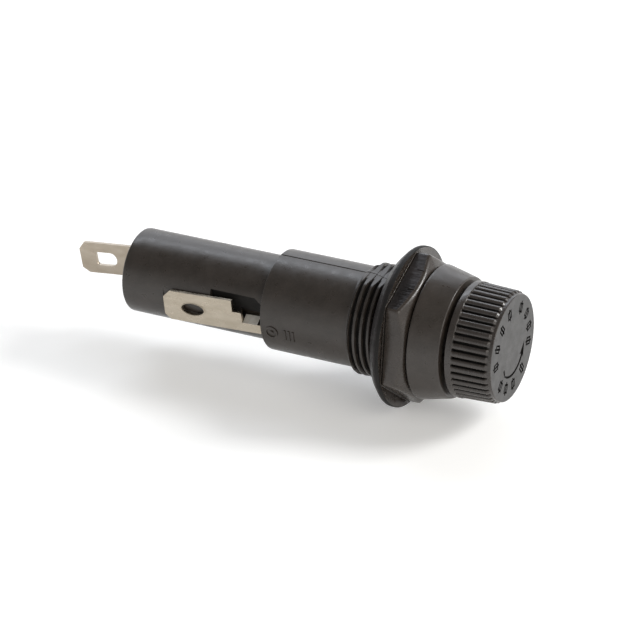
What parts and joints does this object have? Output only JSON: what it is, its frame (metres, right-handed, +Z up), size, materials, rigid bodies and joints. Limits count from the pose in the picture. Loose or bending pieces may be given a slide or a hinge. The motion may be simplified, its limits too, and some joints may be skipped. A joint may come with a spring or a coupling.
{
  "type": "cartridge fuse holder",
  "caption": "Panel-mount holder for a glass cartridge fuse: black moulded body with a threaded neck, hexagon nut, ridged bayonet knob and two solder terminals.",
  "frame": {"origin": "on the holder's axis, in the plane where the panel's front face comes, 0.3 mm behind the flange's rim and level with the front face of the nut when it is screwed home", "axes": "+Y along the axis to the rear, through the panel towards the end terminal, with the knob at -Y; +Z up; the barrel's side terminal faces -X"},
  "size_m": [0.0228, 0.0693, 0.0228],
  "materials": {
    "black_plastic": "moulded black thermoplastic, fine satin grain",
    "nut_plastic": "moulded black thermoplastic, slightly dull",
    "knob_plastic": "moulded black thermoplastic, satin ridges and a finely textured face",
    "tinned_brass": "hot-tinned brass sheet, warm grey and slightly streaked",
    "nickel_plate": "bright nickel plating on brass",
    "spring_steel": "drawn spring wire",
    "solder": "dull solder",
    "black_rubber": "matt neoprene",
    "clear_glass": "clear glass tube"
  },
  "bodies": {
    "holder": {"holder_body": "black_plastic", "side_terminal": "tinned_brass", "contact_sleeve": "tinned_brass", "end_terminal": "tinned_brass", "end_rivet": "nickel_plate", "end_washer": "nickel_plate", "rear_contact_cup": "nickel_plate"},
    "gasket": {"panel_gasket": "black_rubber"},
    "nut": {"mounting_nut": "nut_plastic"},
    "fuse": {"fuse_glass": "clear_glass", "fuse_cap_front": "nickel_plate", "fuse_cap_rear": "nickel_plate", "fuse_element": "spring_steel", "fuse_solder_front": "solder", "fuse_solder_rear": "solder"},
    "plunger": {"contact_cup": "nickel_plate", "carrier_spring": "spring_steel"},
    "seat": {"spring_seat": "nickel_plate"},
    "knob_carrier": {"knob": "knob_plastic", "carrier_ferrule": "tinned_brass", "knob_rivet": "nickel_plate"}
  },
  "joints": [
    {"name": "nut_travel", "type": "slide", "parent": "holder", "child": "gasket", "axis": [0, 1, 0], "range_m": [0, 0.009]},
    {"name": "nut_turn", "type": "hinge", "parent": "gasket", "child": "nut", "pos_m": [0, 0, 0], "axis": [0, 1, 0], "range_deg": [0, 3061]},
    {"name": "fuse_withdraw", "type": "slide", "parent": "holder", "child": "fuse", "axis": [0, -1, 0], "range_m": [0, 0.045]},
    {"name": "fuse_pull", "type": "slide", "parent": "fuse", "child": "plunger", "axis": [0, -1, 0], "range_m": [0, 0.012]},
    {"name": "knob_press", "type": "slide", "parent": "plunger", "child": "seat", "axis": [0, 1, 0], "range_m": [0, 0.0005], "stiffness_N_per_m": 1000, "springref_m": -0.003, "deforming": ["carrier_spring"]},
    {"name": "knob_turn", "type": "hinge", "parent": "seat", "child": "knob_carrier", "pos_m": [0, 0, 0], "axis": [0, 1, 0], "range_deg": [0, 45]}
  ],
  "couplings": [
    {"joint": "nut_travel", "follows": "nut_turn", "m_per_rad": 0.00016844}
  ]
}
